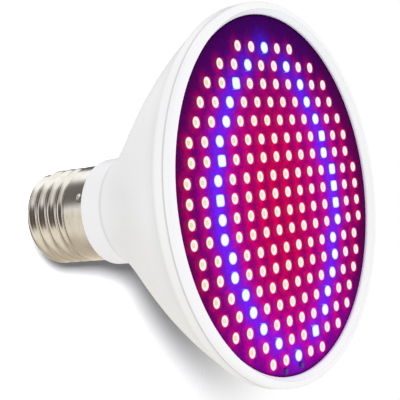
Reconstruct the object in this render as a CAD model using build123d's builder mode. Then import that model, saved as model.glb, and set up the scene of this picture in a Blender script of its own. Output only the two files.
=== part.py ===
"""A grow light bulb: a white bell-shaped housing, a 27 mm screw cap and a round board with 200 LEDs.

The lamp stands on the front of its rim with the cap up. The origin is the centre of the rim's
front plane, +Z runs along the axis to the cap, and sizes are in millimetres.
"""
from build123d import *
from math import sqrt
import os

# Face, rim and front ring
face_radius = 44.65
ring_width = 2.85
ring_depth = 2.1
ring_slope_width = 1.05
ring_inner_edge = 0.5
ring_outer_fillet = 0.9
ring_tongue_wall = 0.6
ring_tongue_depth = 1.3
recess_wall = 1.4
parting_groove = 0.25

# Bell; its two middle points are given as shares of its drop in radius and of its length,
# and the slope at both ends as radius lost for each millimetre of height
bell_length = 43.3
bell_step = 0.8
bell_middle_share = (0.665, 0.377)
bell_turn_share = (0.305, 0.691)
bell_end_slope = 0.53
wall = 1.8
flange_straight = 1.5
flange_rise = 1.75
rib_count = 6
rib_thickness = 1.4
rib_depth = 5.0

# Neck, with the spigot that carries the screw cap
neck_rim = 0.95
neck_length = 7.0
neck_rear_fillet = 0.8
cap_seat_depth = 1.0
cap_gap = 0.4
shoulder_thickness = 1.4
spigot_wall = 1.75
spigot_end_gap = 8.3

# Screw cap with its rolled thread
thread_radius = 13.15
thread_depth = 0.9
thread_pitch = 3.629
thread_end_gap = 0.41
crest_width = 2.5
sheet = 0.35
skirt_length = 8.6
skirt_lap = 1.6
shell_length = 22.7
shell_lip_width = 1.4
shell_end_chamfer = 0.4
punch_count = 4
first_punch_angle = 22
punch_radius = 1.5
punch_depth = 0.2
punch_edge = 1.6
insulator_flange = 1.5
insulator_height = 4.0
contact_rim = 0.8
contact_radius = 4.8
contact_sink = 0.6
contact_rise = 1.6
contact_hole = 1.0

# LED board and its LEDs
board_thickness = 1.6
board_clearance = 0.15
ledge_width = 2.2
led_margin = 4.55
column_pitch = 5.95
row_pitch = 4.48
row_stagger = 0.29
grid_centre = (-1.1, 1.8)
led_length = 3.5
led_width = 2.8
led_height = 0.8
window_radius = 1.2
window_depth = 0.2
outer_red_count = 2

# Driver board and what it carries
driver_edge_gap = 1.2
driver_length = 36.0
driver_thickness = 1.6
driver_clearance = 0.15
slot_rib_length = 14.0
slot_rib_thickness = 1.2
slot_reach = 2.4
part_margin = 2.0
part_spacing = 3.3
can_radius = 4.0
can_length = 12.0
can_groove = 0.3
can_groove_width = 0.6
can_groove_place = 1.9
film_width = 10.0
film_depth = 5.0
film_length = 9.0
film_corner = 0.8
rectifier_width = 4.7
rectifier_depth = 1.6
rectifier_length = 3.9
rectifier_leg_reach = 1.0
rectifier_leg_width = 0.7
rectifier_leg_inset = 0.6
regulator_count = 3
regulator_width = 4.5
regulator_depth = 1.5
regulator_length = 2.5
regulator_gap = 1.5
resistor_count = 2
resistor_width = 1.6
resistor_depth = 0.6
resistor_length = 3.2
resistor_gap = 2.4
fuse_radius = 1.5
fuse_length = 7.0
fuse_end_fillet = 0.4

# Leads
lead_radius = 0.7
lead_spacing = 7.5
lead_shift = -3.5
joint_edge = 2.0
joint_radius = 1.0
joint_height = 0.6
joint_taper = 30
lead_height_above_board = 2.2
lead_bend = 3.0
contact_lead_offset = 2.0
shell_lead_offset = 5.0
fit_clearance = 0.1

# Radii worked out from the sizes above
rim_radius = face_radius + ring_width
ring_land_inner = face_radius + ring_slope_width
recess_radius = rim_radius - recess_wall
board_radius = recess_radius - ring_tongue_wall - 2 * board_clearance
tongue_outer_radius = recess_radius - board_clearance
tongue_inner_radius = tongue_outer_radius - ring_tongue_wall
bell_front_radius = rim_radius - bell_step
neck_radius = thread_radius + cap_gap + neck_rim
spigot_radius = thread_radius - sheet - fit_clearance
spigot_bore = spigot_radius - spigot_wall
thread_root_radius = thread_radius - thread_depth
thread_bore = thread_root_radius - sheet
spigot_tip_radius = thread_bore - fit_clearance
insulator_top_radius = contact_radius + contact_rim

# Heights along the axis, worked out from the sizes above
board_front = ring_depth
board_back = board_front + board_thickness
flange_front_height = board_front + parting_groove
flange_end_height = flange_front_height + flange_straight
bell_front_height = flange_end_height + flange_rise
neck_front_height = bell_front_height + bell_length
neck_rear_height = neck_front_height + neck_length
cap_seat_height = neck_rear_height - cap_seat_depth
shoulder_height = cap_seat_height - shoulder_thickness
skirt_end_height = cap_seat_height + skirt_length
spigot_step_height = skirt_end_height - skirt_lap
shell_end_height = cap_seat_height + shell_length
spigot_end_height = shell_end_height - spigot_end_gap
thread_start_height = spigot_step_height + crest_width / 2 + sheet
thread_height = shell_end_height - thread_start_height - thread_end_gap
insulator_seat = shell_end_height - sheet
insulator_top = shell_end_height + insulator_height
contact_floor = insulator_top - contact_sink

# The driver board stands on its front edge, its parts lined up from there
driver_width = 2 * (neck_radius - wall - driver_edge_gap)
driver_rear = shoulder_height
driver_front = driver_rear - driver_length
driver_face = driver_thickness / 2
slot_rib_centre = driver_face + driver_clearance + slot_rib_thickness / 2
first_part_height = driver_front + part_margin
resistor_height = first_part_height + can_length + part_spacing + resistor_length / 2
rectifier_height = resistor_height + resistor_length / 2 + part_spacing + rectifier_length / 2
regulator_height = first_part_height + film_length + part_spacing + regulator_length / 2
joint_place = face_radius - joint_edge
joint_centres = [
    (lead_shift - lead_spacing / 2, joint_place),
    (lead_shift + lead_spacing / 2, joint_place),
]

os.makedirs("parts", exist_ok=True)


def keep(piece, name):
    """Labels a finished piece and writes it under its own name."""
    piece.part.label = name
    export_step(piece.part, f"parts/{name}.step")


def bell_point(drop_share, length_share):
    """Gives the radius and height of a point of the flare from its shares of drop and length."""
    radius = neck_radius + drop_share * (bell_front_radius - neck_radius)
    return radius, bell_front_height + length_share * bell_length


bell_front = (bell_front_radius, bell_front_height)
bell_middle = bell_point(*bell_middle_share)
bell_turn = bell_point(*bell_turn_share)
bell_rear = (neck_radius, neck_front_height)

# One stiffening rib, which also backs the LED board
with BuildPart() as rib:
    with BuildSketch(Plane.XZ.offset(-rib_thickness / 2)):
        with BuildLine():
            into_wall = 2 * wall / 3
            Polyline(
                (recess_radius - ledge_width - rib_depth, board_back),
                (bell_front_radius - into_wall, board_back),
                (bell_front_radius - into_wall, bell_front_height),
                (bell_middle[0] - into_wall, bell_middle[1]),
                (bell_turn[0] - into_wall, bell_turn[1]),
                (bell_middle[0] - into_wall - rib_depth, bell_middle[1]),
                close=True,
            )
        make_face()
    extrude(amount=rib_thickness)

# Ribs of the two slots that hold the driver board by its long edges
with BuildPart() as slot_ribs:
    slot_rib_inner = driver_width / 2 - slot_reach
    slot_rib_outer = neck_radius - wall / 2
    with BuildSketch(Plane.XY.offset(shoulder_height - slot_rib_length)):
        with Locations(((slot_rib_inner + slot_rib_outer) / 2, slot_rib_centre)):
            Rectangle(slot_rib_outer - slot_rib_inner, slot_rib_thickness)
        Circle(neck_radius - wall / 2, mode=Mode.INTERSECT)
        mirror(about=Plane.XZ)
        mirror(about=Plane.YZ)
    extrude(amount=slot_rib_length)

# Housing, one moulded shell from the flange to the spigot
with BuildPart() as housing:
    with BuildSketch(Plane.XZ):
        with BuildLine():
            flare = Spline(
                bell_front,
                bell_middle,
                bell_turn,
                bell_rear,
                tangents=[(-bell_end_slope, 1), (-bell_end_slope, 1)],
            )
            inside = [
                flare.position_at(share) + flare.tangent_at(share).rotate(Axis.Z, 90) * wall
                for share in (0, 0.25, 0.5, 0.75, 1)
            ]
            Spline(*inside, tangents=[(-bell_end_slope, 1), (-bell_end_slope, 1)])
            neck_bore = neck_radius - wall
            neck_bore_start = inside[-1].Y + (inside[-1].X - neck_bore) / bell_end_slope
            Polyline(
                inside[-1],
                (neck_bore, neck_bore_start),
                (neck_bore, neck_rear_height),
                (neck_radius, neck_rear_height),
                bell_rear,
            )
            Line(inside[0], bell_front)
        make_face()
        with BuildLine():
            flange_edge = (rim_radius, flange_front_height)
            flange_end = (rim_radius, flange_end_height)
            TangentArc(flange_end, bell_front, tangent=(0, 1))
            Polyline(
                bell_front,
                (bell_front_radius - 2 * wall, bell_front_height + wall),
                (recess_radius - ledge_width, board_back),
                (recess_radius, board_back),
                (recess_radius, board_front),
                (rim_radius - parting_groove, board_front),
                flange_edge,
                flange_end,
            )
        make_face()
        with BuildLine():
            Polyline(
                (spigot_bore, shoulder_height),
                (neck_radius - wall / 2, shoulder_height),
                (neck_radius - wall / 2, cap_seat_height),
                (spigot_radius, cap_seat_height),
                (spigot_radius, spigot_step_height - fit_clearance),
                (spigot_tip_radius, spigot_step_height - fit_clearance),
                (spigot_tip_radius, spigot_end_height),
                (spigot_bore, spigot_end_height),
                close=True,
            )
        make_face()
    revolve(axis=Axis.Z)
    with BuildSketch(Plane.XY.offset(cap_seat_height)):
        Circle(thread_radius + cap_gap)
        Circle(spigot_radius, mode=Mode.SUBTRACT)
    extrude(amount=cap_seat_depth, mode=Mode.SUBTRACT)
    rear_rim = (
        housing.edges()
        .filter_by(GeomType.CIRCLE)
        .group_by(lambda edge: round(edge.center().Z, 3))
    )
    rear_rim = [
        group for group in rear_rim if abs(group[0].center().Z - neck_rear_height) < 0.001
    ][0].sort_by(SortBy.RADIUS)[-1]
    fillet(rear_rim, neck_rear_fillet)
    with PolarLocations(0, rib_count):
        add(rib.part)
    add(slot_ribs.part)
keep(housing, "housing")

# Front ring, whose tongue drops into the recess beside the board
with BuildPart() as front_ring:
    with BuildSketch(Plane.XZ):
        with BuildLine():
            Polyline(
                (face_radius, board_front),
                (face_radius, board_front - ring_inner_edge),
                (ring_land_inner, 0),
                (rim_radius, 0),
                (rim_radius, ring_depth - parting_groove),
                (rim_radius - parting_groove, ring_depth),
                (tongue_outer_radius, ring_depth),
                (tongue_outer_radius, ring_depth + ring_tongue_depth),
                (tongue_inner_radius, ring_depth + ring_tongue_depth),
                (tongue_inner_radius, ring_depth),
                close=True,
            )
        make_face()
    revolve(axis=Axis.Z)
    outer_edge = front_ring.faces().sort_by(Axis.Z)[0].outer_wire().edges()
    fillet(outer_edge, ring_outer_fillet)
keep(front_ring, "front_ring")

# Screw shell: a rolled sheet with a smooth skirt, a round thread and a turned-in end
with BuildPart() as thread_ridge:
    thread_path = Helix(
        pitch=thread_pitch,
        height=thread_height,
        radius=thread_root_radius,
        center=(0, 0, thread_start_height),
    )
    with BuildSketch(Plane(origin=thread_path @ 0, x_dir=(1, 0, 0), z_dir=(0, 1, 0))):
        with BuildLine():
            ridge_foot = (-sheet / 2, crest_width / 2)
            ridge_shoulder = (thread_depth / 3, crest_width / 2)
            Line(ridge_foot, ridge_shoulder)
            ThreePointArc(
                ridge_shoulder,
                (thread_depth, 0),
                (ridge_shoulder[0], -ridge_shoulder[1]),
            )
            Line((ridge_shoulder[0], -ridge_shoulder[1]), (ridge_foot[0], -ridge_foot[1]))
            Line((ridge_foot[0], -ridge_foot[1]), ridge_foot)
        make_face()
    sweep(path=thread_path, is_frenet=True)

with BuildPart() as screw_shell:
    with BuildSketch(Plane.XZ):
        with BuildLine():
            Polyline(
                (thread_bore, spigot_step_height),
                (thread_radius - sheet, spigot_step_height),
                (thread_radius - sheet, cap_seat_height),
                (thread_radius, cap_seat_height),
                (thread_radius, skirt_end_height),
                (thread_root_radius, skirt_end_height + thread_depth),
                (thread_root_radius, shell_end_height - shell_end_chamfer),
                (thread_root_radius - shell_end_chamfer, shell_end_height),
                (thread_bore - shell_lip_width, shell_end_height),
                (thread_bore - shell_lip_width, insulator_seat),
                (thread_bore, insulator_seat),
                close=True,
            )
        make_face()
    revolve(axis=Axis.Z)
    add(thread_ridge.part)
    with BuildSketch(Plane.XZ):
        with BuildLine():
            end_corner = (thread_root_radius - shell_end_chamfer, shell_end_height)
            outside = 2 * thread_radius
            Polyline(
                end_corner,
                (outside, shell_end_height - outside + end_corner[0]),
                (outside, shell_end_height + 2 * thread_pitch),
                (end_corner[0], shell_end_height + 2 * thread_pitch),
                close=True,
            )
        make_face()
    revolve(axis=Axis.Z, mode=Mode.SUBTRACT)
    with PolarLocations(thread_radius + punch_radius - punch_depth, punch_count, first_punch_angle):
        with Locations((0, 0, neck_rear_height + punch_edge)):
            Sphere(punch_radius, mode=Mode.SUBTRACT)
keep(screw_shell, "screw_shell")

# Insulator between the shell and the centre contact
with BuildPart() as cap_insulator:
    with BuildSketch(Plane.XZ):
        with BuildLine():
            Polyline(
                (contact_hole, insulator_seat - insulator_flange),
                (thread_bore - fit_clearance, insulator_seat - insulator_flange),
                (thread_bore - fit_clearance, insulator_seat),
                (thread_bore - shell_lip_width - fit_clearance, insulator_seat),
                (thread_bore - shell_lip_width - fit_clearance, shell_end_height),
                (insulator_top_radius, insulator_top),
                (contact_radius + fit_clearance, insulator_top),
                (contact_radius + fit_clearance, contact_floor),
                (contact_hole, contact_floor),
                close=True,
            )
        make_face()
    revolve(axis=Axis.Z)
keep(cap_insulator, "cap_insulator")

# Centre contact, a shallow pressed dome
with BuildPart() as centre_contact:
    with BuildSketch(Plane.XZ):
        with BuildLine():
            contact_edge = (contact_radius, insulator_top)
            contact_top = (0, contact_floor + contact_rise)
            TangentArc(contact_top, contact_edge, tangent=(1, 0))
            Polyline(contact_top, (0, contact_floor), (contact_radius, contact_floor), contact_edge)
        make_face()
    revolve(axis=Axis.Z)
keep(centre_contact, "centre_contact")

# Aluminium-core board, with two holes for the leads at its edge
with BuildPart() as led_board:
    with BuildSketch(Plane.XY.offset(board_front)):
        Circle(board_radius)
        with Locations(*joint_centres):
            Circle(lead_radius + fit_clearance, mode=Mode.SUBTRACT)
    extrude(amount=board_thickness)
keep(led_board, "led_board")

# Solder joints that close the lead holes on the board's face
with BuildPart() as lead_joints:
    with BuildSketch(Plane.XY.offset(board_front)):
        with Locations(*joint_centres):
            Circle(joint_radius)
    extrude(amount=-joint_height, taper=joint_taper)
keep(lead_joints, "lead_joints")


def led_places():
    """Gives the centres of the red and of the blue LEDs, as many to a row as the face takes."""
    reach = face_radius - led_margin
    half_count = int(reach / row_pitch + 1 / 2)
    red = []
    blue = []
    for row in range(-half_count, half_count):
        y = (row + 1 / 2) * row_pitch
        count = int(2 * sqrt(reach**2 - y**2) / column_pitch) + 1
        shift = -row_stagger if count % 2 else row_stagger
        for place in range(count):
            x = (place - (count - 1) / 2) * column_pitch + shift
            outside_count = min(place, count - 1 - place)
            spot = (x + grid_centre[0], y + grid_centre[1])
            (blue if outside_count == outer_red_count else red).append(spot)
    return red, blue


red_places, blue_places = led_places()

# Red LEDs, in packages with a window sunk in the front
with BuildPart() as red_leds:
    with BuildSketch(Plane.XY.offset(board_front)):
        with Locations(*red_places):
            Rectangle(led_length, led_width)
    extrude(amount=-led_height)
    with BuildSketch(Plane.XY.offset(board_front - led_height)):
        with Locations(*red_places):
            Circle(window_radius)
    extrude(amount=window_depth, mode=Mode.SUBTRACT)
keep(red_leds, "red_leds")

# Blue LEDs, in the same packages
with BuildPart() as blue_leds:
    with BuildSketch(Plane.XY.offset(board_front)):
        with Locations(*blue_places):
            Rectangle(led_length, led_width)
    extrude(amount=-led_height)
    with BuildSketch(Plane.XY.offset(board_front - led_height)):
        with Locations(*blue_places):
            Circle(window_radius)
    extrude(amount=window_depth, mode=Mode.SUBTRACT)
keep(blue_leds, "blue_leds")

# Driver board, held by its long edges and stopped by the spigot's shoulder
with BuildPart() as driver_board:
    with BuildSketch(Plane.XY.offset(driver_front)):
        Rectangle(driver_width, driver_thickness)
    extrude(amount=driver_length)
keep(driver_board, "driver_board")

# Electrolytic capacitor, lying on the driver board with its rolled groove
with BuildPart() as electrolytic_capacitor:
    with BuildSketch(Plane.XY.offset(first_part_height)):
        with Locations((0, driver_face + can_radius)):
            Circle(can_radius)
    extrude(amount=can_length)
    with BuildSketch(Plane.XY.offset(first_part_height + can_length - can_groove_place)):
        with Locations((0, driver_face + can_radius)):
            Circle(can_radius)
            Circle(can_radius - can_groove, mode=Mode.SUBTRACT)
    extrude(amount=can_groove_width, mode=Mode.SUBTRACT)
keep(electrolytic_capacitor, "electrolytic_capacitor")

# Film capacitor on the board's other side
with BuildPart() as film_capacitor:
    with BuildSketch(Plane.XY.offset(first_part_height)):
        with Locations((0, -driver_face - film_depth / 2)):
            Rectangle(film_width, film_depth)
    extrude(amount=film_length)
    fillet(film_capacitor.edges().filter_by(Axis.Z), film_corner)
keep(film_capacitor, "film_capacitor")

# Bridge rectifier with its four legs
with BuildPart() as bridge_rectifier:
    with BuildSketch(Plane.XZ.offset(-driver_face)):
        with Locations((0, rectifier_height)):
            Rectangle(rectifier_width, rectifier_length)
    extrude(amount=-rectifier_depth)
    with BuildSketch(Plane.XZ.offset(-driver_face)):
        with Locations((0, rectifier_height)):
            leg_spacing = rectifier_length - 2 * rectifier_leg_inset
            with GridLocations(rectifier_width + rectifier_leg_reach, leg_spacing, 2, 2):
                Rectangle(rectifier_leg_reach, rectifier_leg_width)
    extrude(amount=-rectifier_depth / 3)
keep(bridge_rectifier, "bridge_rectifier")

# Constant-current regulators, alike in a row
with BuildPart() as current_regulators:
    with BuildSketch(Plane.XZ.offset(driver_face)):
        with Locations((0, regulator_height)):
            with GridLocations(regulator_width + regulator_gap, 1, regulator_count, 1):
                Rectangle(regulator_width, regulator_length)
    extrude(amount=regulator_depth)
keep(current_regulators, "current_regulators")

# Bleeder resistors across the capacitor
with BuildPart() as discharge_resistors:
    with BuildSketch(Plane.XZ.offset(-driver_face)):
        with Locations((0, resistor_height)):
            with GridLocations(resistor_width + resistor_gap, 1, resistor_count, 1):
                Rectangle(resistor_width, resistor_length)
    extrude(amount=-resistor_depth)
keep(discharge_resistors, "discharge_resistors")

# Fuse resistor on the far side, near the cap
with BuildPart() as fuse_resistor:
    with BuildSketch(Plane.XY.offset(driver_rear - part_margin - fuse_length)):
        with Locations((0, -driver_face - fuse_radius)):
            Circle(fuse_radius)
    extrude(amount=fuse_length)
    fillet(fuse_resistor.faces().filter_by(Plane.XY).edges(), fuse_end_fillet)
keep(fuse_resistor, "fuse_resistor")


def lead(name, points, bends):
    """Makes a round insulated lead along straight runs joined by bends, and keeps it."""
    with BuildPart() as wire:
        with BuildLine() as route:
            FilletPolyline(*points, radius=bends)
        start = route.line @ 0
        with BuildSketch(Plane(origin=start, z_dir=route.line % 0)):
            Circle(lead_radius)
        sweep(path=route.line)
    keep(wire, name)


# Leads from the driver board's front edge to the LED board
for side, name in ((-1, "board_lead_positive"), (1, "board_lead_negative")):
    lead_x = lead_shift + side * lead_spacing / 2
    lead(
        name,
        [
            (lead_x, 0, driver_front),
            (lead_x, 0, board_back + lead_height_above_board),
            (lead_x, joint_place, board_back + lead_height_above_board),
            (lead_x, joint_place, board_front),
        ],
        lead_bend,
    )

# Leads from the driver board's rear edge to the cap
lead(
    "contact_lead",
    [
        (contact_lead_offset, 0, driver_rear),
        (contact_lead_offset, 0, spigot_step_height),
        (0, 0, spigot_end_height),
        (0, 0, contact_floor),
    ],
    lead_bend,
)
lead(
    "shell_lead",
    [
        (-shell_lead_offset, 0, driver_rear),
        (-shell_lead_offset, 0, spigot_end_height + lead_bend),
        (fit_clearance - thread_bore, 0, spigot_end_height + lead_bend),
    ],
    lead_bend,
)
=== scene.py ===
"""The finish of the grow light bulb: smooth moulded and rolled surfaces, lit LEDs, light and camera.

Shapes are worked out in millimetres in the part's frame: the rim stands on z = 0 round the origin,
+Z runs to the cap and +Y is the edge of the face with the lead joints. A piece's points are turned
into metres when its mesh is made.
"""
from math import cos, radians, tan, tau

import bpy
import numpy as np
from mathutils import Matrix, Vector


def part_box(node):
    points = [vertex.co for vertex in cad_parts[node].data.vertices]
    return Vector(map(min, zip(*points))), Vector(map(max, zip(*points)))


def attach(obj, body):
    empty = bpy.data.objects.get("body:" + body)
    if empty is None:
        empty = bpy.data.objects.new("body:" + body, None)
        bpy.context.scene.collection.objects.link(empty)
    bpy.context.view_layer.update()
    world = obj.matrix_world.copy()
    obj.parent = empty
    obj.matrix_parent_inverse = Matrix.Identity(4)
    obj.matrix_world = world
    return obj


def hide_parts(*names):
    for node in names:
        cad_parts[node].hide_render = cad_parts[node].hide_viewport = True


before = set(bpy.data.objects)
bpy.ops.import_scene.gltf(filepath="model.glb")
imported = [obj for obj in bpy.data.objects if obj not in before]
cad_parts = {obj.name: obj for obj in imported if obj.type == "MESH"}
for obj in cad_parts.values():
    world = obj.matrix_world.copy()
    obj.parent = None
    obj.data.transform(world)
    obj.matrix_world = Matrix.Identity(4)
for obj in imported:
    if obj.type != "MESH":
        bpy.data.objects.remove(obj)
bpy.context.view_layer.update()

MM = 0.001


def node_box(node):
    """Gives the lowest and highest corner of a node of the frame, in millimetres."""
    low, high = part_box(node)
    return np.array(low) / MM, np.array(high) / MM


# Sizes that the frame gives
_, ring_high = node_box("front_ring")
_, housing_high = node_box("housing")
shell_low, shell_high = node_box("screw_shell")
insulator_low, insulator_high = node_box("cap_insulator")
contact_low, contact_high = node_box("centre_contact")
board_low, board_high = node_box("led_board")
led_low, _ = node_box("red_leds")
rim_radius = ring_high[0]
board_front = board_low[2]
board_back = board_high[2]
thread_radius = shell_high[0]
cap_seat = shell_low[2]
shell_end = shell_high[2]
spigot_end = housing_high[2]
insulator_bore_radius = insulator_high[0]
contact_radius = contact_high[0]

# Ring and flange
face_radius = 44.65
land_inner = 45.7
ring_inner_edge = 0.5
ring_fillet = 0.9
tongue_wall = 0.6
recess_radius = rim_radius - 1.4
fit_gap = 0.15
groove = 0.25
flange_straight = 1.5
flange_rise = 1.75
bell_step = 0.8
wall = 1.8
ledge_width = 2.2

# Bell and neck
bell_length = 43.3
bell_middle_share = np.array([0.665, 0.377])
bell_turn_share = np.array([0.305, 0.691])
bell_end_slope = 0.53
bell_rows = 24
neck_radius = 14.5
neck_rear = cap_seat + 1.0
neck_rear_fillet = 0.8
cap_gap = 0.4
shoulder = cap_seat - 1.4
spigot_radius = thread_radius - 0.45
spigot_bore = spigot_radius - 1.75
spigot_tip_radius = thread_radius - 1.35
spigot_step = cap_seat + 6.9
rib_count = 6
rib_thickness = 1.4
rib_depth = 5.0
slot_rib_thickness = 1.2
slot_rib_length = 14.0
slot_rib_inner = 9.1
slot_rib_offset = 0.95
slot_rib_sink = 0.2

# Screw shell
thread_depth = 0.9
thread_pitch = 3.629
sheet_thickness = 0.35
skirt_end = cap_seat + 8.6
thread_end_gap = 0.41
thread_turns = (shell_end - thread_end_gap - skirt_end) / thread_pitch
thread_fullness = 0.8
thread_fade = 0.15
thread_start = 0.1
skirt_fade = np.array([-0.5, 1.1])
shell_rows = 210
shell_last_step = 0.02
lip_width = 1.4
end_chamfer = 0.4
end_cone_slope = 1.2
end_turn_in = 0.15
step_gap = 0.1
punch_count = 4
first_punch_angle = 22
punch_height = neck_rear + 1.6
punch_reach = 1.25
punch_depth = 0.3
punch_flat_share = 0.25

# Insulator and centre contact
contact_gap = 0.1
contact_hole = 1.0
cone_foot = 1.0
cone_drop = 0.2
seat_edge = 0.35
seat_edge_offset = 0.55

# Solder mask and LEDs
mask_gap = 0.01
mask_thickness = 0.03
led_margin = 4.55
column_pitch = 5.95
row_pitch = 4.48
row_stagger = 0.29
grid_centre = np.array([-1.1, 1.8])
outer_red_count = 2
led_half = np.array([1.75, 1.4])
window_radius = 1.2
window_depth = 0.16
window_slope = 0.1
window_fill = 0.6
package_roundness = 0.2
red_lit_half = np.array([1.25, 1.25])
blue_lit_half = np.array([1.56, 1.38])
red_cool_share = 0.55
blue_cool_share = 0
cool_from = -32
cool_to = 28
tint_seed = 7
red_never_boxy = 2
blue_boxy_from = 0.72
stop_share = 0.8

# Light on the face, as red, green and blue, with the reach of each glow
red_close_light = np.array([0.5, 0.0, 0.0])
red_close_reach = 0.95
red_near_light = np.array([0.36, 0.0, 0.0])
red_near_reach = np.array([1.25, 1.6])
red_far_light = np.array([0.0069, 0.0, 0.001])
red_far_reach = 14
blue_near_light = np.array([0.0, 0.010, 0.57])
blue_near_reach = 2.4
blue_far_light = np.array([0.0, 0.0, 0.040])
blue_far_reach = 8
ground_light = np.array([0.0, 0.0006, 0.030])
lead_side_light = np.array([0.10, 0.0, 0.16])
lead_side_start = 18
fade_start = 10
fade_end = 44
fade_to_far_edge = 0.55
fade_to_side = 0.22
edge_start = face_radius - 0.9
edge_end = face_radius - 0.1
edge_shade = 0.75

# Fineness of the surfaces, and how near two points are one
turn_count = 256
face_grid = 250
sheet_grid = 80
same_point = 1e-4

bell_front_radius = rim_radius - bell_step
flange_front = board_front + groove
flange_end = flange_front + flange_straight
bell_front = flange_end + flange_rise
neck_front = bell_front + bell_length
random = np.random.default_rng(tint_seed)


# Curves in the radius and height plane
def line(start, end, count=2):
    """Straight run: start + t (end - start)."""
    share = np.linspace(0, 1, count)[:, None]
    return np.array(start) * (1 - share) + np.array(end) * share


def arc(centre, radius, first, last, count=7):
    """Arc: centre + radius (cos a, sin a), with a from first to last in degrees."""
    angle = np.radians(np.linspace(first, last, count))[:, None]
    return np.array(centre) + radius * np.hstack([np.cos(angle), np.sin(angle)])


def flare(points, end_direction, count):
    """Smooth run through points: a cubic in the chord length between each two, whose slopes make
    the second derivative continuous, with the given direction at both ends."""
    points = np.array(points)
    chord = np.linalg.norm(np.diff(points, axis=0), axis=1)
    direction = np.array(end_direction) / np.linalg.norm(end_direction)
    size = len(points)
    system = np.eye(size)
    target = np.zeros((size, 2))
    target[0] = target[-1] = direction
    steps = np.diff(points, axis=0) / chord[:, None]
    for place in range(1, size - 1):
        before, after = chord[place - 1], chord[place]
        system[place, place - 1 : place + 2] = after, 2 * (before + after), before
        target[place] = 3 * (after * steps[place - 1] + before * steps[place])
    slope = np.linalg.solve(system, target)
    runs = []
    for place in range(size - 1):
        t = np.linspace(0, 1, count)[:, None]
        runs.append(
            (2 * t**3 - 3 * t**2 + 1) * points[place]
            + (t**3 - 2 * t**2 + t) * chord[place] * slope[place]
            + (3 * t**2 - 2 * t**3) * points[place + 1]
            + (t**3 - t**2) * chord[place] * slope[place + 1]
        )
    return np.concatenate(runs)


def inward(curve, distance):
    """The curve moved sideways: each point minus distance times its outward normal."""
    along = np.gradient(curve, axis=0)
    along /= np.linalg.norm(along, axis=1)[:, None]
    return curve + distance * np.stack([-along[:, 1], along[:, 0]], -1)


def outline(*runs):
    """Joins runs into one closed outline, counter-clockwise, without doubled points."""
    points = np.concatenate([np.atleast_2d(run) for run in runs])
    fresh = np.linalg.norm(points - np.roll(points, 1, axis=0), axis=1) > same_point
    points = points[fresh]
    radius, height = points.T
    area = np.sum(radius * np.roll(height, -1) - np.roll(radius, -1) * height)
    return points if area > 0 else points[::-1]


# Meshes
def grid_faces(rows, columns, close_rows, close_columns, start=0):
    """Quads between neighbours of a grid of points, numbered row by row."""
    row = np.arange(rows if close_rows else rows - 1)[:, None]
    column = np.arange(columns if close_columns else columns - 1)[None, :]
    next_row = (row + 1) % rows
    next_column = (column + 1) % columns
    corners = (
        row * columns + column,
        row * columns + next_column,
        next_row * columns + next_column,
        next_row * columns + column,
    )
    return np.stack([np.broadcast_to(c, corners[2].shape).ravel() for c in corners], -1) + start


def carried_round(profile, count=turn_count):
    """A closed profile carried round the axis: (r cos a, r sin a, z)."""
    angle = np.arange(count) * tau / count
    radius, height = profile[:, :1], profile[:, 1:]
    points = np.stack(
        [radius * np.cos(angle), radius * np.sin(angle), height + 0 * angle], -1
    )
    return points.reshape(-1, 3), [grid_faces(len(profile), count, True, True)]


def dome_round(profile, count=turn_count):
    """A profile from the axis out and back to it, carried round, with a fan at each pole."""
    inner = profile[1:-1]
    points, _ = carried_round(inner, count)
    faces = grid_faces(len(inner), count, False, True)
    low_pole, high_pole = len(points), len(points) + 1
    points = np.vstack([points, [0, 0, profile[0, 1]], [0, 0, profile[-1, 1]]])
    first = np.arange(count)
    last = first + (len(inner) - 1) * count
    turned = np.roll(np.arange(count), -1)
    low_fan = np.stack([turned, first, np.full(count, low_pole)], -1)
    high_fan = np.stack([last, turned + (len(inner) - 1) * count, np.full(count, high_pole)], -1)
    return points, [faces, low_fan, high_fan]


def slab(corners, low, high):
    """A flat outline given a thickness: the same corners at two heights, and the sides between."""
    corners = np.array(corners, dtype=float)
    count = len(corners)
    points = np.vstack([np.c_[corners, np.full(count, h)] for h in (low, high)])
    sides = grid_faces(2, count, False, True)
    return points, [sides, np.arange(count)[None, ::-1], np.arange(count, 2 * count)[None, :]]


def together(*bodies):
    """Puts several bodies into one list of points and one of faces."""
    points = []
    faces = []
    total = 0
    for body_points, body_faces in bodies:
        points.append(body_points)
        faces += [group + total for group in body_faces]
        total += len(body_points)
    return np.concatenate(points), faces


def turned_about_axis(body, angle):
    """The body turned round +Z by an angle in degrees."""
    points, faces = body
    c, s = np.cos(radians(angle)), np.sin(radians(angle))
    return points @ np.array([[c, s, 0], [-s, c, 0], [0, 0, 1]]), faces


def make_piece(name, body, material, replaced, sharp_angle=32):
    """Makes a piece of the bulb from points in millimetres, with its finish and its CAD node."""
    points, faces = body
    mesh = bpy.data.meshes.new(name)
    mesh.from_pydata((points * MM).tolist(), [], [f for group in faces for f in group.tolist()])
    mesh.validate()
    mesh.shade_smooth()
    mesh.set_sharp_from_angle(angle=radians(sharp_angle))
    mesh.materials.append(material)
    piece = bpy.data.objects.new(name, mesh)
    bpy.context.scene.collection.objects.link(piece)
    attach(piece, "root")
    if replaced:
        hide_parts(replaced)
    return piece


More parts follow.
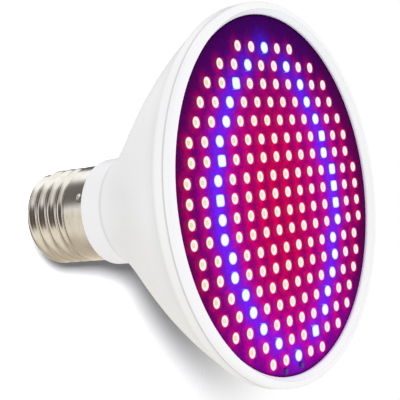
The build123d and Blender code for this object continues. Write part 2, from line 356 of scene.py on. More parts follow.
# Finishes, written as sums on sockets
class Reading:
    """One output of a shader node. Arithmetic on it adds Math nodes to its finish."""

    def __init__(self, recipe, output):
        self.recipe = recipe
        self.output = output

    def math(self, operation, *terms, clamp=False):
        settings = {"operation": operation, "use_clamp": clamp}
        return self.recipe.add("ShaderNodeMath", settings, dict(enumerate(terms)))

    def __add__(self, other):
        return self.math("ADD", self, other)

    def __radd__(self, other):
        return self.math("ADD", other, self)

    def __sub__(self, other):
        return self.math("SUBTRACT", self, other)

    def __rsub__(self, other):
        return self.math("SUBTRACT", other, self)

    def __mul__(self, other):
        return self.math("MULTIPLY", self, other)

    def __rmul__(self, other):
        return self.math("MULTIPLY", other, self)

    def __pow__(self, power):
        return self.math("POWER", self, power)

    def clamped(self):
        return self.math("ADD", self, 0, clamp=True)

    def over(self, low, high):
        """Smooth step from 0 at low to 1 at high."""
        settings = {"interpolation_type": "SMOOTHSTEP"}
        terms = {"Value": self, "From Min": low, "From Max": high}
        return self.recipe.add("ShaderNodeMapRange", settings, terms)


class Recipe:
    """The node tree of one finish, or of the room's light."""

    def __init__(self, tree):
        self.tree = tree
        tree.nodes.clear()

    def add(self, kind, settings=None, inputs=None, output=0):
        """Adds a node, makes its settings, then gives its sockets their values or links."""
        node = self.tree.nodes.new(kind)
        for key, value in (settings or {}).items():
            if key == "stops":
                self.place_stops(node.color_ramp.elements, value)
            else:
                setattr(node, key, value)
        for key, value in (inputs or {}).items():
            socket = node.inputs[key]
            if isinstance(value, Reading):
                self.tree.links.new(value.output, socket)
            else:
                socket.default_value = value
        return Reading(self, node.outputs[output]) if len(node.outputs) else None

    def place_stops(self, elements, stops):
        """Gives a ramp its stops, each a place and a colour as a screen shows it."""
        while len(elements) < len(stops):
            elements.new(0.5)
        for element, (position, shade) in zip(elements, stops):
            element.position = position
            element.color = (*display(*shade), 1)

    def ramp(self, position, stops):
        """Colour by a number from 0 to 1."""
        return self.add("ShaderNodeValToRGB", {"stops": stops}, {"Fac": position})

    def place(self):
        """Where a point is on the bulb, in metres."""
        return self.add("ShaderNodeTexCoord", output="Object")

    def parts_of(self, vector):
        """The three numbers of a vector."""
        split = self.add("ShaderNodeSeparateXYZ", inputs={0: vector}).output.node
        return [Reading(self, split.outputs[axis]) for axis in range(3)]

    def vector(self, x, y, z):
        return self.add("ShaderNodeCombineXYZ", inputs={0: x, 1: y, 2: z})

    def across(self, operation, first, second, output="Vector"):
        """A Vector Math node between two vectors."""
        settings = {"operation": operation}
        return self.add("ShaderNodeVectorMath", settings, {0: first, 1: second}, output)

    def noise(self, scale, detail=3, roughness=0.5, place=None):
        """Cloudy noise from 0 to 1, with scale as clouds for each metre."""
        terms = {"Scale": scale, "Detail": detail, "Roughness": roughness}
        terms["Vector"] = place or self.place()
        return self.add("ShaderNodeTexNoise", {}, terms)

    def mix(self, factor, first, second):
        """Colour between first, at 0, and second, at 1."""
        terms = {0: factor, 6: colour(first), 7: colour(second)}
        return self.add("ShaderNodeMix", {"data_type": "RGBA"}, terms, output=2)

    def bump(self, height, strength, distance):
        terms = {"Height": height, "Strength": strength, "Distance": distance}
        return self.add("ShaderNodeBump", {}, terms)


def colour(value):
    """A colour as a socket takes it: a link as it is, or three numbers with a full alpha."""
    return value if isinstance(value, Reading) else (*value, 1)


def display(red, green, blue):
    """A colour as the eye reads it on a screen, from 0 to 255, turned into light."""
    share = np.array([red, green, blue]) / 255
    light = np.where(share <= 0.04045, share / 12.92, ((share + 0.055) / 1.055) ** 2.4)
    return tuple(float(part) for part in light)


def finish(name, make):
    """A material whose Principled sockets are what make(recipe) returns."""
    material = bpy.data.materials.new(name)
    material.use_nodes = True
    recipe = Recipe(material.node_tree)
    sockets = make(recipe)
    shader = recipe.add("ShaderNodeBsdfPrincipled", {}, sockets)
    recipe.add("ShaderNodeOutputMaterial", {}, {"Surface": shader})
    return material


def axis_radius(x, y):
    """Distance from the bulb's axis, in millimetres."""
    return (x**2 + y**2) ** 0.5 * (1 / MM)


def white_moulding(recipe):
    """Satin white moulding: faint clouds in tone, a fine skin and cooler by the neck. Painted shade
    and warm bounced light make it warmer and darker towards +Y; painted shade makes it darker where
    the neck meets the bell, at the bell's foot and in the groove before the ring."""
    _, across, along = recipe.parts_of(recipe.place())
    height = along * (1 / MM)
    cloud = recipe.noise(60, 2)
    skin = recipe.noise(2600, 2)
    # Painted shade and warm bounced light: warmer and darker towards +Y, the side below.
    warm_underside_shade = across.over(-0.02, 0.05)
    cool = along.over(0.03, 0.06)
    # Painted shade where the neck meets the bell.
    neck_corner_shade = height.over(neck_front - 1.6, neck_front) - height.over(neck_front, neck_front + 0.5)
    # Painted shadow in the groove before the ring.
    groove_shadow = 1 - height.over(flange_front - 0.1, flange_front + 0.15)
    # Painted shade at the bell's foot, just behind the flange.
    bell_foot_shade = height.over(flange_end, bell_front) - height.over(bell_front, bell_front + 5)
    tone = recipe.mix(cloud, (0.92, 0.92, 0.92), (0.96, 0.96, 0.955))
    tone = recipe.mix(cool * 0.6, tone, (0.88, 0.875, 0.90))
    tone = recipe.mix(warm_underside_shade * 0.6, tone, (0.80, 0.785, 0.73))
    tone = recipe.mix(neck_corner_shade * 0.5, tone, (0.60, 0.60, 0.60))
    tone = recipe.mix(bell_foot_shade * 0.2, tone, (0.70, 0.70, 0.70))
    tone = recipe.mix(groove_shadow * 0.5, tone, (0.50, 0.50, 0.52))
    return {
        "Base Color": tone,
        "Roughness": 0.38 + 0.1 * cloud,
        "Normal": recipe.bump(skin, 0.06, 0.0001),
        "Specular IOR Level": 0.45,
    }


def ring_moulding(recipe):
    """Smooth white moulding with painted light: a faint emission on its slope by the lit face, and
    painted lilac light from the LEDs at its inner edge.
    """
    x, y, _ = recipe.parts_of(recipe.place())
    radius = axis_radius(x, y)
    # Painted lilac light from the LEDs on the ring's inner edge, beside the face.
    lilac_led_light = 1 - radius.over(face_radius, face_radius + 0.3)
    # Painted light: a faint greenish emission on the slope beside the lit face.
    slope = 1 - radius.over(land_inner - 0.2, land_inner + 0.1)
    cloud = recipe.noise(90, 2)
    tone = recipe.mix(cloud, (0.93, 0.93, 0.94), (0.96, 0.96, 0.96))
    return {
        "Base Color": recipe.mix(lilac_led_light * 0.5, tone, (0.80, 0.60, 0.86)),
        "Roughness": 0.3 + 0.08 * cloud,
        "Emission Color": recipe.mix(slope, (0, 0, 0), (0.13, 0.17, 0.15)),
        "Emission Strength": 1.0,
        "Normal": recipe.bump(recipe.noise(2200, 2), 0.03, 0.0001),
    }


def nickel_sheet(recipe):
    """Bright nickel over brass: rolling lines round the axis, faint stains, a painted warm reflection
    towards +Y and a painted dark, uneven shadow line where the skirt meets the neck."""
    x, y, z = recipe.parts_of(recipe.place())
    lines = recipe.noise(1, 3, 0.6, recipe.vector(x * 120, y * 120, z * 2600))
    stain = recipe.noise(240, 4)
    smear = recipe.noise(150, 2)
    # Painted shadow: a dark, uneven line on the skirt beside the neck's edge.
    neck_gap_shadow = 1 - (z * (1 / MM)).over(neck_rear + 0.2, neck_rear + 0.2 + 1.6 * smear)
    tone = recipe.mix(stain.over(0.35, 0.75), (0.94, 0.92, 0.87), (0.84, 0.79, 0.70))
    # Painted reflection: warmer towards +Y, where the warm lower room shows in the nickel.
    tone = recipe.mix(y.over(0.006, 0.014) * 0.5, tone, (0.86, 0.76, 0.60))
    tone = recipe.mix(neck_gap_shadow * 0.85, tone, (0.10, 0.07, 0.05))
    return {
        "Base Color": tone,
        "Metallic": 1.0,
        "Roughness": 0.12 + 0.1 * lines + 0.06 * stain,
        "Normal": recipe.bump(lines, 0.05, 0.0001),
    }


def dull_tin(recipe):
    """Tinned contact: soft dents and a rubbed ring."""
    x, y, _ = recipe.parts_of(recipe.place())
    radius = axis_radius(x, y)
    rub = recipe.noise(900, 4)
    ring = radius.over(2.2, 2.8) - radius.over(3.2, 3.8)
    return {
        "Base Color": recipe.mix(ring * 0.6, (0.72, 0.69, 0.63), (0.55, 0.52, 0.48)),
        "Metallic": 1.0,
        "Roughness": 0.26 + 0.2 * rub,
        "Normal": recipe.bump(rub, 0.15, 0.0001),
    }


def black_glass(recipe):
    """Black pressed insulator with a slightly uneven glossy skin."""
    cloud = recipe.noise(500, 3)
    return {
        "Base Color": recipe.mix(cloud, (0.012, 0.012, 0.014), (0.03, 0.03, 0.034)),
        "Roughness": 0.16 + 0.14 * cloud,
        "Normal": recipe.bump(cloud, 0.08, 0.0001),
    }


def face_glow(recipe, grain):
    """The face's light from the glow map on the mesh, mottled by the mask's grain: dark red and
    blue clouds that don't fall together."""
    glow = recipe.add("ShaderNodeAttribute", {"attribute_name": "glow"}, output="Color")
    red_cloud = recipe.noise(1000, 3, 0.65)
    elsewhere = recipe.across("ADD", recipe.place(), (1.0, 2.0, 3.0))
    blue_cloud = recipe.noise(1200, 3, 0.65, elsewhere)
    fine = 0.86 + 0.28 * grain
    shade = recipe.vector((0.2 + 1.6 * red_cloud) * fine, 1, (0.3 + 1.4 * blue_cloud) * fine)
    return recipe.across("MULTIPLY", glow, shade)


def lit_mask(recipe):
    """Solder mask lit by the LEDs."""
    grain = recipe.noise(1700, 2)
    return {
        "Base Color": recipe.mix(grain, (0.006, 0.001, 0.010), (0.012, 0.002, 0.018)),
        "Roughness": 0.5 + 0.2 * grain,
        "Specular IOR Level": 0.0,
        "Emission Color": face_glow(recipe, grain),
        "Emission Strength": 1.0,
        "Normal": recipe.bump(grain, 0.1, 0.0001),
    }


def lit_led(warm_stops, cool_stops, boxy_from):
    """Makes a recipe for an LED: its lit window, coloured by the distance from the middle between
    two tints, and the face's glow on the rest. Above a tint of boxy_from the light fills a box."""

    def make(recipe):
        u, v, _ = recipe.parts_of(recipe.add("ShaderNodeUVMap", {"uv_map": "spot"}))
        tint = recipe.add("ShaderNodeAttribute", {"attribute_name": "tint"}, output="Fac")
        grain = recipe.noise(1500, 2)
        boxy = tint.over(boxy_from, boxy_from + 0.02)
        reach = (u**2 + v**2) ** 0.5 * (1 - boxy) + (u**4 + v**4) ** 0.25 * boxy
        position = reach * stop_share
        window = recipe.mix(
            (tint + 0.5 * grain - 0.25).clamped(),
            recipe.ramp(position, warm_stops),
            recipe.ramp(position, cool_stops),
        )
        return {
            "Base Color": (0.02, 0.01, 0.02, 1),
            "Roughness": 0.35 + 0.2 * grain,
            "Specular IOR Level": 0.0,
            "Emission Color": recipe.mix(reach.over(1.02, 1.12), window, face_glow(recipe, grain)),
            "Emission Strength": 1.0,
        }

    return make


def dark_solder(recipe):
    """Solder seen in violet light: dark metal with an uneven skin."""
    skin = recipe.noise(900, 3)
    return {
        "Base Color": recipe.mix(skin, (0.06, 0.02, 0.24), (0.14, 0.05, 0.42)),
        "Metallic": 1.0,
        "Roughness": 0.3 + 0.2 * skin,
        "Normal": recipe.bump(skin, 0.3, 0.0002),
    }


def inner_part(first, second, roughness, grain_scale, metallic=0.0):
    """Makes a recipe for a hidden part: two tones, its grain and a skin to match."""

    def make(recipe):
        grain = recipe.noise(grain_scale, 3)
        return {
            "Base Color": recipe.mix(grain, first, second),
            "Metallic": metallic,
            "Roughness": roughness + 0.15 * grain,
            "Normal": recipe.bump(grain, 0.15, 0.0001),
        }

    return make


# Housing: the flange, the flared bell, the neck and the spigot in one shell, with its ribs
def bell_point(share):
    """Radius and height of a point of the flare from its shares of the drop and of the length."""
    drop = bell_front_radius - neck_radius
    return np.array([neck_radius, bell_front]) + share * [drop, bell_length]


def housing_outline():
    """The housing's section: flange block, flare, neck, cap seat, spigot and the inner wall."""
    flange_turn = (bell_step**2 + flange_rise**2) / (2 * bell_step)
    turn_angle = np.degrees(np.arcsin(flange_rise / flange_turn))
    points = [
        (bell_front_radius, bell_front),
        bell_point(bell_middle_share),
        bell_point(bell_turn_share),
        (neck_radius, neck_front),
    ]
    outside = flare(points, (-bell_end_slope, 1), bell_rows)
    fresh = np.r_[True, np.linalg.norm(np.diff(outside, axis=0), axis=1) > same_point]
    inside = inward(outside[fresh], wall)
    bore = neck_radius - wall
    inside = inside[(inside[:, 0] > bore) & (inside[:, 1] > bell_front + wall)][::-1]
    return outline(
        (rim_radius - groove, board_front),
        (rim_radius, flange_front),
        line((rim_radius, flange_front), (rim_radius, flange_end), 4),
        arc((rim_radius - flange_turn, flange_end), flange_turn, 0, turn_angle, 8),
        outside,
        line((neck_radius, neck_front), (neck_radius, neck_rear - neck_rear_fillet), 8),
        arc(
            (neck_radius - neck_rear_fillet, neck_rear - neck_rear_fillet),
            neck_rear_fillet,
            0,
            90,
        ),
        (thread_radius + cap_gap, neck_rear),
        (thread_radius + cap_gap, cap_seat),
        (spigot_radius, cap_seat),
        (spigot_radius, spigot_step),
        (spigot_tip_radius, spigot_step),
        (spigot_tip_radius, spigot_end),
        (spigot_bore, spigot_end),
        (spigot_bore, shoulder),
        (bore, shoulder),
        inside,
        (bell_front_radius - 2 * wall, bell_front + wall),
        (recess_radius - ledge_width, board_back),
        (recess_radius, board_back),
        (recess_radius, board_front),
    )


def housing_rib():
    """A stiffening rib in the XZ plane: between the wall and a line a rib's depth inside it."""
    into = 2 * wall / 3
    middle = bell_point(bell_middle_share) - [into, 0]
    turn = bell_point(bell_turn_share) - [into, 0]
    corners = [
        (recess_radius - ledge_width - rib_depth, board_back),
        (bell_front_radius - into, board_back),
        (bell_front_radius - into, bell_front),
        middle,
        turn,
        (middle[0] - rib_depth, middle[1]),
    ]
    points, faces = slab(corners, -rib_thickness / 2, rib_thickness / 2)
    return points[:, [0, 2, 1]] * [1, -1, 1], faces


def slot_rib(side, face):
    """One of four ribs that hold the driver board by its edges."""
    outer = neck_radius - wall / 2 - slot_rib_sink
    corners = np.array([
        (slot_rib_inner, slot_rib_offset),
        (outer, slot_rib_offset),
        (outer, slot_rib_offset + slot_rib_thickness),
        (slot_rib_inner, slot_rib_offset + slot_rib_thickness),
    ]) * [side, face]
    if side * face < 0:
        corners = corners[::-1]
    return slab(corners, shoulder - slot_rib_length, shoulder)


plastic = finish("white_moulding", white_moulding)
ribs = [turned_about_axis(housing_rib(), place * 360 / rib_count) for place in range(rib_count)]
slot_ribs = [slot_rib(side, face) for side in (-1, 1) for face in (-1, 1)]
housing_body = together(carried_round(housing_outline()), *ribs, *slot_ribs)
make_piece("housing_shell", housing_body, plastic, "housing", 24)


# Front ring: a slope beside the face, a flat land, a rounded outer edge and the tongue behind
def ring_outline():
    """The ring's section, with its outer edge as an arc of the fillet's radius."""
    tongue_outer = recess_radius - fit_gap
    tongue_inner = tongue_outer - tongue_wall
    fillet_centre = (rim_radius - ring_fillet, ring_fillet)
    return outline(
        line((face_radius, board_front), (face_radius, board_front - ring_inner_edge), 3),
        line((face_radius, board_front - ring_inner_edge), (land_inner, 0), 6),
        line((land_inner, 0), (rim_radius - ring_fillet, 0), 4),
        arc(fillet_centre, ring_fillet, -90, 0, 9),
        line((rim_radius, ring_fillet), (rim_radius, board_front - groove), 4),
        (rim_radius - groove, board_front),
        (tongue_outer, board_front),
        (tongue_outer, ring_high[2]),
        (tongue_inner, ring_high[2]),
        (tongue_inner, board_front),
    )


make_piece(
    "front_ring_moulding",
    carried_round(ring_outline(), 320),
    finish("ring_moulding", ring_moulding),
    "front_ring",
    28,
)


# Screw shell: skirt, rolled thread, turned-in end and the punch marks on the skirt
def smooth_step(value, low, high):
    """0 below low, 1 above high, and 3 t^2 - 2 t^3 between."""
    share = np.clip((value - low) / (high - low), 0, 1)
    return share * share * (3 - 2 * share)


def shell_body():
    """Outer wall at radius root + depth * f, where f is 1 on the skirt and a rounded wave of
    (z - pitch * angle / turn) on the thread, held under a cone at the end, and a plain inner wall."""
    root = thread_radius - thread_depth
    bore = root - sheet_thickness
    angle = np.arange(turn_count)[None, :] * tau / turn_count
    height = np.linspace(cap_seat, shell_end - shell_last_step, shell_rows)[:, None]
    turn = angle / tau + np.round((height - skirt_end) / thread_pitch - angle / tau)
    off_crest = (height - skirt_end) / thread_pitch - turn
    begun = smooth_step(turn, -thread_fade, thread_start)
    not_ended = smooth_step(-turn, -thread_turns, thread_fade - thread_turns)
    wave = (0.5 + 0.5 * np.cos(tau * off_crest)) ** thread_fullness * begun * not_ended
    skirt = 1 - smooth_step(height, *(skirt_end + skirt_fade))
    radius = root + thread_depth * (1 - (1 - skirt) * (1 - wave))
    cone = root - end_chamfer + end_cone_slope * (shell_end - height)
    radius = np.minimum(radius, cone)
    for punch in range(punch_count):
        centre = radians(first_punch_angle + punch * 360 / punch_count)
        across = thread_radius * (np.mod(angle - centre + np.pi, tau) - np.pi)
        off = np.sqrt(across**2 + (height - punch_height) ** 2) / punch_reach
        radius = radius - punch_depth * (1 - smooth_step(off, punch_flat_share, 1))
    inner = outline(
        (bore - lip_width, shell_end),
        (bore - lip_width, shell_end - sheet_thickness),
        (bore, shell_end - sheet_thickness),
        (bore, spigot_step + step_gap),
        (thread_radius - sheet_thickness, spigot_step + step_gap),
        (thread_radius - sheet_thickness, cap_seat),
    )
    start = np.argmin(np.hypot(inner[:, 0] - bore + lip_width, inner[:, 1] - shell_end))
    inner = np.roll(inner, -start, axis=0)
    inner_radius = inner[:, :1] + 0 * angle
    inner_height = inner[:, 1:] + 0 * angle
    end_radius = np.full((1, turn_count), root - end_chamfer - end_turn_in)
    end_height = np.full((1, turn_count), shell_end)
    radius = np.concatenate([radius, end_radius, inner_radius])
    height = np.concatenate([height + 0 * angle, end_height, inner_height])
    points = np.stack([radius * np.cos(angle), radius * np.sin(angle), height], -1)
    return points.reshape(-1, 3), [grid_faces(len(radius), turn_count, True, True)]


nickel = finish("nickel_sheet", nickel_sheet)
make_piece("rolled_screw_shell", shell_body(), nickel, "screw_shell", 40)


# Insulator and centre contact at the cap's end
def insulator_outline():
    """The insulator's section: flange in the shell, cone outside and a seat for the contact."""
    lip = insulator_bore_radius - lip_width
    seat = contact_radius + contact_gap
    floor = contact_low[2]
    top = insulator_high[2]
    flange_low = insulator_low[2]
    return outline(
        (contact_hole, flange_low),
        (insulator_bore_radius, flange_low),
        (insulator_bore_radius, shell_end - sheet_thickness),
        (lip, shell_end - sheet_thickness),
        line((lip, shell_end), (contact_radius + cone_foot, top - cone_drop), 10),
        arc((contact_radius + seat_edge_offset, top - seat_edge), seat_edge, 20, 90, 5),
        (seat, top),
        (seat, floor),
        (contact_hole, floor),
    )


def contact_profile():
    """Half the contact's section: flat below, and an arc of the dome over it that ends level."""
    edge_height = insulator_high[2]
    rise = contact_high[2] - edge_height
    bend = (contact_radius**2 + rise**2) / (2 * rise)
    reach = np.degrees(np.arcsin(contact_radius / bend))
    dome = arc((0, contact_high[2] - bend), bend, 90 - reach, 90, 14)
    floor = contact_low[2]
    base = line((0, floor), (contact_radius, floor), 4)
    return np.vstack([base, dome])


make_piece(
    "insulator_cone",
    carried_round(insulator_outline(), 160),
    finish("black_glass", black_glass),
    "cap_insulator",
)
make_piece(
    "contact_dome",
    dome_round(contact_profile(), 128),
    finish("dull_tin", dull_tin),
    "centre_contact",
)


# LED places, red and blue, as the board has them
def led_places():
    """Centres of the red and the blue LEDs: as many to a row as the face takes, the blue ones
    the third from each end."""
    reach = face_radius - led_margin
    half_count = int(reach / row_pitch + 0.5)
    red = []
    blue = []
    for row in range(-half_count, half_count):
        y = (row + 0.5) * row_pitch
        count = int(2 * np.sqrt(reach**2 - y**2) / column_pitch) + 1
        shift = -row_stagger if count % 2 else row_stagger
        for place in range(count):
            x = (place - (count - 1) / 2) * column_pitch + shift
            from_end = min(place, count - 1 - place)
            (blue if from_end == outer_red_count else red).append((x, y))
    return np.array(red) + grid_centre, np.array(blue) + grid_centre


red_places, blue_places = led_places()


def spread(points, centres, reach):
    """Sum over the centres of exp(-(distance / reach)^2 / 2), as a column."""
    total = np.zeros((len(points), 1))
    for centre in centres:
        off = (points - centre) / reach
        total += np.exp(-np.sum(off**2, axis=1, keepdims=True) / 2)
    return total


def glow_map(points):
    """Light on the face at each point, as red, green and blue: a violet ground, a tight and a wide
    red glow round each red LED, and the same in blue round each blue LED. Towards -Y and -X the
    red fades, by the leads it all turns violet, and at the edge it is dark."""
    x, y = points.T[:, :, None]
    edge = smooth_step(np.hypot(x, y), edge_start, edge_end)
    light = spread(points, red_places, red_close_reach) * red_close_light
    light += spread(points, red_places, red_near_reach) * red_near_light
    light += spread(points, red_places, red_far_reach) * red_far_light
    light *= 1 - fade_to_far_edge * smooth_step(-y, fade_start, fade_end)
    light *= 1 - fade_to_side * smooth_step(-x, fade_start, fade_end)
    light += ground_light
    light += spread(points, blue_places, blue_near_reach) * blue_near_light
    light += spread(points, blue_places, blue_far_reach) * blue_far_light
    light += smooth_step(y, lead_side_start, fade_end) * lead_side_light
    return light * (1 - edge_shade * edge)


def disc_points(count, radius):
    """Square grid pressed into a disc: (a, b) goes to a (1 - b^2/2)^0.5, b (1 - a^2/2)^0.5."""
    side = np.linspace(-1, 1, count)
    a, b = np.meshgrid(side, side, indexing="ij")
    x = a * np.sqrt(1 - b**2 / 2)
    y = b * np.sqrt(1 - a**2 / 2)
    return radius * np.stack([x, y], -1).reshape(-1, 2)


def mask_body():
    """The solder mask: a disc grid facing the front, with its rim carried back and closed there by
    one face."""
    flat = disc_points(face_grid, face_radius - mask_gap)
    front = np.c_[flat, np.full(len(flat), board_front - mask_thickness)]
    faces = grid_faces(face_grid, face_grid, False, False)
    number = np.arange(face_grid**2).reshape(face_grid, face_grid)
    rim = np.concatenate([number[0, :-1], number[:-1, -1], number[-1, :0:-1], number[:0:-1, 0]])
    back = front[rim] + [0, 0, 2 * mask_thickness]
    size = len(front)
    behind = size + np.arange(len(rim))
    side = np.stack([rim, np.roll(rim, -1), np.roll(behind, -1), behind], -1)
    return np.vstack([front, back]), [faces, side, behind[None, :]]


def store_glow(piece):
    """Puts the glow map on the piece's points."""
    count = len(piece.data.vertices)
    places = np.empty(3 * count)
    piece.data.vertices.foreach_get("co", places)
    light = glow_map(places.reshape(-1, 3)[:, :2] / MM)
    glow = piece.data.attributes.new("glow", "FLOAT_COLOR", "POINT")
    glow.data.foreach_set("color", np.c_[light, np.ones(count)].ravel())


mask = make_piece("solder_mask", mask_body(), finish("lit_mask", lit_mask), None)
store_glow(mask)


def led_ring(half, roundness, height, count=12):
    """Points of a superellipse: half (|cos a|^s, |sin a|^s) with their signs, where the roundness s
    is 1 for an ellipse and small for a rectangle."""
    angle = np.arange(count) * tau / count
    way = np.round(np.stack([np.cos(angle), np.sin(angle)], -1), 9)
    return np.c_[half * np.sign(way) * np.abs(way) ** roundness, np.full(count, height)]


def led_bodies(places):
    """LED packages: rounded rectangles from the board up to the top, then circles in at the round
    window and down to its floor, whose middle is filled, closed under the base."""
    top = led_low[2]
    rings = np.stack([
        led_ring(led_half, package_roundness, board_front),
        led_ring(led_half, package_roundness, top),
        led_ring(window_radius, 1, top),
        led_ring(window_radius - window_slope, 1, top + window_depth),
    ])
    ring_count, count, _ = rings.shape
    points = np.vstack([rings.reshape(-1, 3), [0, 0, top + window_fill * window_depth]])
    size = len(points)
    quads = grid_faces(ring_count, count, False, True)[:, ::-1]
    last = size - 1 - count + np.arange(count)
    fan = np.stack([np.roll(last, -1), last, np.full(count, size - 1)], -1)
    base = np.arange(count)[None, :]
    offset = (np.arange(len(places)) * size)[:, None, None]
    all_points = (points[None] + np.c_[places, np.zeros(len(places))][:, None]).reshape(-1, 3)
    groups = [(group[None] + offset).reshape(-1, group.shape[1]) for group in (quads, fan, base)]
    return (all_points, groups), points[:, :2]


def make_leds(name, places, lit_half, cool_share, material, replaced):
    """LEDs of one colour, with each point's share of the lit area as UV, a tint of which a share
    turns cooler towards +X, and the face's glow."""
    body, around = led_bodies(places)
    piece = make_piece(name, body, material, replaced)
    mesh = piece.data
    corner_points = np.empty(len(mesh.loops), dtype=np.int32)
    mesh.loops.foreach_get("vertex_index", corner_points)
    reach = np.tile(around / lit_half, (len(places), 1))
    spot = mesh.uv_layers.new(name="spot")
    spot.data.foreach_set("uv", reach[corner_points].astype(np.float32).ravel())
    cool = cool_share * smooth_step(places[:, 0], cool_from, cool_to)
    cool += (1 - cool_share) * random.random(len(places))
    tint = mesh.attributes.new("tint", "FLOAT", "POINT")
    tint.data.foreach_set("value", np.repeat(cool, len(around)).astype(np.float32))
    store_glow(piece)


def lit_stops(*stops):
    """Ramp stops from distances given as shares of the lit area's reach."""
    return tuple((reach * stop_share, shade) for reach, shade in stops)


make_leds(
    "red_led_packages",
    red_places,
    red_lit_half,
    red_cool_share,
    finish("lit_red_led", lit_led(
        lit_stops(
            (0.0, (232, 240, 180)),
            (0.2, (222, 230, 150)),
            (0.34, (232, 200, 124)),
            (0.43, (250, 212, 164)),
            (0.54, (255, 246, 230)),
            (0.9, (255, 250, 242)),
            (1.0, (255, 208, 200)),
            (1.08, (236, 48, 66)),
            (1.2, (216, 12, 56)),
        ),
        lit_stops(
            (0.0, (242, 248, 232)),
            (0.2, (232, 242, 214)),
            (0.34, (242, 220, 192)),
            (0.43, (253, 230, 218)),
            (0.54, (255, 249, 247)),
            (0.9, (255, 250, 250)),
            (1.0, (255, 214, 220)),
            (1.08, (236, 48, 74)),
            (1.2, (216, 12, 60)),
        ),
        red_never_boxy,
    )),
    "red_leds",
)
make_leds(
    "blue_led_packages",
    blue_places,
    blue_lit_half,
    blue_cool_share,
    finish("lit_blue_led", lit_led(
        lit_stops(
            (0.0, (252, 254, 255)),
            (0.8, (250, 255, 255)),
            (0.95, (196, 226, 255)),
            (1.06, (110, 96, 255)),
        ),
        lit_stops(
            (0.0, (244, 255, 252)),
            (0.8, (240, 255, 255)),
            (0.95, (176, 240, 255)),
            (1.06, (90, 80, 255)),
        ),
        blue_boxy_from,
    )),
    "blue_leds",
)


# Finishes of the frame's own pieces that stay
def dress(nodes, material):
    """Gives a finish to nodes of the frame."""
    for node in nodes:
        for material_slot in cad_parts[node].material_slots:
            material_slot.material = material


dress(["lead_joints"], finish("dark_solder", dark_solder))
hidden_parts = (
    (["led_board"], "board_core", (0.45, 0.45, 0.47), (0.6, 0.6, 0.62), 0.35, 800, 1.0),
    (["driver_board"], "paper_laminate", (0.5, 0.36, 0.16), (0.62, 0.48, 0.24), 0.55, 900),
    (["electrolytic_capacitor"], "black_sleeve", (0.02, 0.02, 0.03), (0.05, 0.05, 0.07), 0.3, 400),
    (["film_capacitor"], "dipped_resin", (0.45, 0.14, 0.04), (0.6, 0.22, 0.07), 0.25, 300),
    (
        ["bridge_rectifier", "current_regulators", "discharge_resistors"],
        "moulded_epoxy", (0.02, 0.02, 0.02), (0.05, 0.05, 0.05), 0.6, 2000,
    ),
    (["fuse_resistor"], "green_lacquer", (0.05, 0.22, 0.16), (0.1, 0.32, 0.24), 0.3, 700),
    (
        ["board_lead_positive", "contact_lead"],
        "red_sleeve", (0.45, 0.02, 0.02), (0.6, 0.05, 0.04), 0.35, 600,
    ),
    (
        ["board_lead_negative", "shell_lead"],
        "black_wire_sleeve", (0.015, 0.015, 0.015), (0.04, 0.04, 0.04), 0.35, 600,
    ),
)
for nodes, name, *look in hidden_parts:
    dress(nodes, finish(name, inner_part(*look)))

# Camera, at the photograph's viewing angle: in front of the face and turned with the picture
camera_place = Vector((-229.67, -3.9, -138.39)) * MM
camera_forward = Vector((0.8118, 0.01131, 0.58382)).normalized()
camera_up = Vector((0.07468, -0.99361, -0.08459))
focal_pixels = 1086.2
photo_width = 400
camera_data = bpy.data.cameras.new("photo_camera")
camera_data.sensor_width = 36
camera_data.lens = focal_pixels / photo_width * camera_data.sensor_width
camera_data.clip_start = 0.01
camera_data.clip_end = 10
camera = bpy.data.objects.new("photo_camera", camera_data)
camera_right = camera_forward.cross(camera_up).normalized()
camera_turn = Matrix((camera_right, camera_right.cross(camera_forward), -camera_forward)).transposed()
camera.matrix_world = Matrix.Translation(camera_place) @ camera_turn.to_4x4()
bpy.context.scene.collection.objects.link(camera)
bpy.context.scene.camera = camera


# Stage
def stage_sheet(name, height, up, clear, reach, tone, lift):
    """A level sheet of matt paper across the axis, seen from one side only, with lift as a glow on
    top of its tone. It is fully shown within clear of the axis and gone at reach."""
    side = np.linspace(-reach, reach, sheet_grid)
    x, y = np.meshgrid(side, up * side, indexing="ij")
    points = np.stack([x, y, np.full_like(x, height)], -1).reshape(-1, 3)
    mesh = bpy.data.meshes.new(name)
    faces = grid_faces(sheet_grid, sheet_grid, False, False)[:, ::-1]
    mesh.from_pydata((points * MM).tolist(), [], faces.tolist())
    shown = mesh.attributes.new("shown", "FLOAT", "POINT")
    shown.data.foreach_set("value", 1 - smooth_step(np.hypot(x, y).ravel(), clear, reach))
    sheet = bpy.data.objects.new(name, mesh)
    bpy.context.scene.collection.objects.link(sheet)
    for ray in ("diffuse", "glossy", "transmission", "volume_scatter", "shadow"):
        setattr(sheet, "visible_" + ray, False)
    material = bpy.data.materials.new(name)
    material.use_nodes = True
    recipe = Recipe(material.node_tree)
    behind = recipe.add("ShaderNodeNewGeometry", output="Backfacing")
    kept = recipe.add("ShaderNodeAttribute", {"attribute_name": "shown"}, output="Fac")
    matt = recipe.add("ShaderNodeBsdfDiffuse", {}, {"Color": (*tone, 1)})
    glow = recipe.add("ShaderNodeEmission", {}, {"Color": (*lift, 1), "Strength": 1.0})
    lit = recipe.add("ShaderNodeAddShader", {}, {0: matt, 1: glow})
    unseen = recipe.add("ShaderNodeBsdfTransparent")
    mixed = recipe.add("ShaderNodeMixShader", {}, {0: kept * (1 - behind), 1: unseen, 2: lit})
    recipe.add("ShaderNodeOutputMaterial", {}, {"Surface": mixed})
    mesh.materials.append(material)
    return sheet


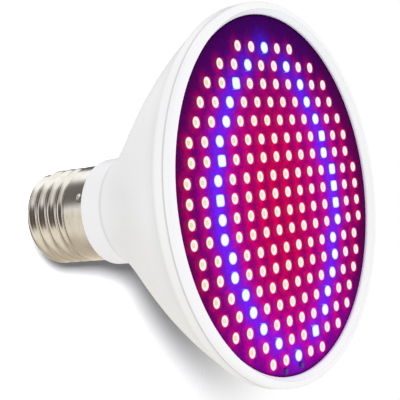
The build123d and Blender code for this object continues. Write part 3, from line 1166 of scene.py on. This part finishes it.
# The floor is seen from above. From the face's side it is the paper behind the cap that is seen
floor_height = -0.2
paper_height = contact_high[2] + 30
stage_sheet("floor", floor_height, 1, 120, 400, (0.9, 0.9, 0.9), (0.12, 0.12, 0.12))
paper = stage_sheet("paper", paper_height, -1, 90, 185, (0.18, 0.18, 0.184), (0, 0, 0))

bpy.context.scene.view_settings.view_transform = "Standard"

# Studio light: a white surround. The cap reflects dark furniture and a warm lower half of the room
world = bpy.data.worlds.new("studio")
bpy.context.scene.world = world
world.use_nodes = True
sky = Recipe(world.node_tree)
rays = sky.add("ShaderNodeLightPath").output.node
seen = Reading(sky, rays.outputs["Is Camera Ray"])
mirrored = Reading(sky, rays.outputs["Is Glossy Ray"])
heading = sky.add("ShaderNodeTexCoord", output="Generated")


def room_patch(room, middle, inner, outer, tone):
    """The room with a round patch of a tone: full within inner degrees of its middle, and fading
    to nothing at outer degrees."""
    facing = sky.across("DOT_PRODUCT", heading, tuple(Vector(middle).normalized()), "Value")
    return sky.mix(facing.over(cos(radians(outer)), cos(radians(inner))), room, tone)


below = sky.across("DOT_PRODUCT", heading, tuple(Vector((0, 1, 0.35)).normalized()), "Value")
room = sky.mix(below.over(-0.1, 0.3), (1.0, 1.0, 1.0), (0.80, 0.74, 0.64))
room = sky.mix(below.over(0.6, 1.0), room, (0.44, 0.385, 0.31))
furniture = (
    ((-0.62, -0.78, -0.05), 8, 30, (0.45, 0.43, 0.40)),
    ((-0.42, -0.66, 0.62), 14, 34, (0.13, 0.12, 0.11)),
    ((-0.14, 0.0, 0.99), 30, 39, (0.05, 0.035, 0.03)),
    ((-0.97, -0.14, -0.24), 20, 34, (0.07, 0.045, 0.04)),
    ((0.80, -0.40, 0.50), 16, 24, (0.08, 0.07, 0.06)),
)
for middle, inner, outer, tone in furniture:
    room = room_patch(room, middle, inner, outer, tone)
room = sky.mix(mirrored, (0.99, 0.99, 1.0), room)
room = sky.mix(seen, room, (1, 1, 1))
surround = sky.add("ShaderNodeBackground", {}, {"Color": room, "Strength": 1.0})
sky.add("ShaderNodeOutputWorld", {}, {"Surface": surround})


def lamp_for(sheet, place, aim, size, power):
    """A square soft lamp at a place in millimetres, turned to its aim, that lights one sheet."""
    data = bpy.data.lights.new("paper_light", "AREA")
    data.size = size * MM
    data.energy = power
    lamp = bpy.data.objects.new("paper_light", data)
    lamp.location = place * MM
    lamp.rotation_mode = "QUATERNION"
    lamp.rotation_quaternion = (aim * MM - lamp.location).to_track_quat("-Z", "Y")
    lamp.visible_camera = False
    bpy.context.scene.collection.objects.link(lamp)
    lit_by_it = bpy.data.collections.new("paper_light_receivers")
    lit_by_it.objects.link(sheet)
    lamp.light_linking.receiver_collection = lit_by_it


# The lamp that throws the shadow stands a few degrees above the camera and a little to its right
lamp_lift = 4.4
lamp_side = 0.1
lamp_distance = 400
lamp_size = 34
lamp_power = 24
shadow_aim = Vector((0, 0, 40))
to_camera = (camera_place / MM - shadow_aim).normalized()
off_camera = tan(radians(lamp_lift)) * (camera_up + lamp_side * camera_right)
lamp_place = shadow_aim + lamp_distance * (to_camera + off_camera).normalized()
lamp_for(paper, lamp_place, shadow_aim, lamp_size, lamp_power)
